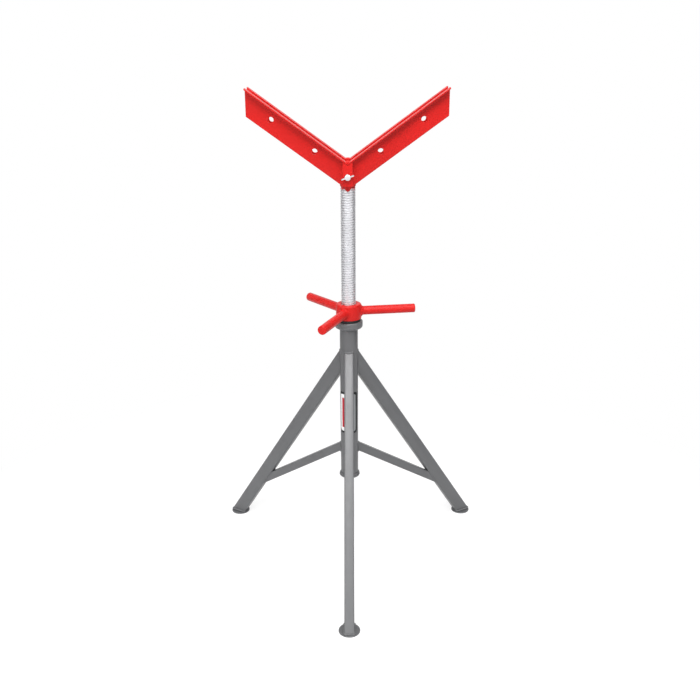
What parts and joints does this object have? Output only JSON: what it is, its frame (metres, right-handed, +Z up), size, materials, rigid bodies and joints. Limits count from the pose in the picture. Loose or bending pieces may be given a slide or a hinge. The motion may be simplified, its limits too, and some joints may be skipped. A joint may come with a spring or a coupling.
{
  "type": "pipe jack stand",
  "caption": "Welded tripod stand with a hand nut that raises a jack screw, which carries a drilled V head for holding pipe.",
  "frame": {"origin": "on the floor, in the middle of the stand's footprint box; the stand's own axis is 99.3 mm behind it, because the three feet are not symmetric front to back", "axes": "+Z up along the screw, +X to the right of the front leg's view, -Y along the front leg"},
  "size_m": [0.7418, 0.6496, 1.2811],
  "materials": {
    "grey_paint": "semi-gloss dark grey paint over welded steel tube",
    "red_paint": "gloss red paint, a little darker along edges and welds",
    "zinc_plate": "bright zinc plate, satin",
    "black_steel": "oiled black steel"
  },
  "bodies": {
    "base": {"center_tube": "grey_paint", "top_collar": "grey_paint", "bottom_ring": "grey_paint", "leg_front": "grey_paint", "brace_front": "grey_paint", "foot_front": "grey_paint", "leg_right": "grey_paint", "brace_right": "grey_paint", "foot_right": "grey_paint", "leg_left": "grey_paint", "brace_left": "grey_paint", "foot_left": "grey_paint", "thrust_washer": "black_steel"},
    "hand_nut": {"nut_hub": "red_paint", "handle_bar_right": "red_paint", "handle_bar_rear": "red_paint", "handle_bar_left": "red_paint"},
    "screw": {"jack_screw": "zinc_plate", "screw_stop_ring": "zinc_plate"},
    "v_head": {"head_sleeve": "red_paint", "arm_front_right": "red_paint", "arm_front_left": "red_paint", "arm_rear_left": "red_paint", "arm_rear_right": "red_paint", "head_block": "red_paint"},
    "thumb_screw": {"wing_screw": "zinc_plate"}
  },
  "joints": [
    {"name": "nut_turn", "type": "hinge", "parent": "base", "child": "hand_nut", "pos_m": [0, 0.09928, 0.7124], "axis": [0, 0, 1], "range_deg": [-6230, 16430]},
    {"name": "screw_lift", "type": "slide", "parent": "base", "child": "screw", "axis": [0, 0, 1], "range_m": [-0.29, 0.11]},
    {"name": "head_swivel", "type": "hinge", "parent": "screw", "child": "v_head", "pos_m": [0, 0.09928, 1.068], "axis": [0, 0, 1], "range_deg": [-180, 180]},
    {"name": "wing_screw_turn", "type": "hinge", "parent": "v_head", "child": "thumb_screw", "pos_m": [0, 0.09928, 1.0705], "axis": [0, -1, 0], "range_deg": [0, 1080]}
  ],
  "couplings": [
    {"joint": "screw_lift", "follows": "nut_turn", "m_per_rad": -0.0010106}
  ]
}
